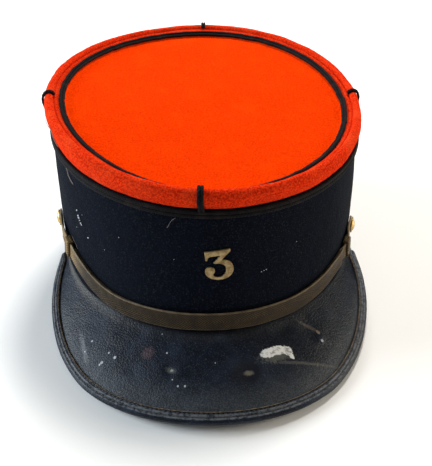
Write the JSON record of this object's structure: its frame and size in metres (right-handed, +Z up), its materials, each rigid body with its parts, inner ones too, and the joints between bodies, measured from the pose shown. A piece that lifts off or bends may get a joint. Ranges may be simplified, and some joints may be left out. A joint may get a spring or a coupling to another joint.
{
  "type": "kepi cap",
  "caption": "Stiff army cap with a dark blue cloth band, a sunken red crown with a rolled rim, black braid, a sloping leather peak with a bound edge, and a gilt lace chin strap.",
  "frame": {"origin": "on the table, under the middle of the cap's box", "axes": "+Z up, -Y to the front, where the peak is, +X to the wearer's left"},
  "size_m": [0.1778, 0.2463, 0.1131],
  "materials": {
    "navy_cloth": "dark blue wool broadcloth, matt, with a little lint",
    "red_cloth": "red wool felt cloth with a fine nap, worn a little on the crest",
    "black_braid": "black mohair braid with a groove along its middle",
    "black_leather": "black varnished leather, dusty, scuffed and finely grained",
    "gilt_lace": "tarnished gilt lace with slanting ribs",
    "brass": "dull brass, darkened in the hollows"
  },
  "bodies": {
    "root": {"band": "navy_cloth", "crown_side": "red_cloth", "crown_top": "red_cloth", "band_braid": "black_braid", "top_soutache": "black_braid", "soutache_front": "black_braid", "soutache_rear": "black_braid", "soutache_left": "black_braid", "soutache_right": "black_braid", "peak": "black_leather", "peak_binding": "black_leather", "chin_strap_outer": "gilt_lace", "chin_strap_inner": "gilt_lace", "strap_slide_left": "gilt_lace", "strap_slide_right": "gilt_lace", "button_left": "brass", "button_right": "brass", "numeral": "brass"}
  },
  "joints": []
}
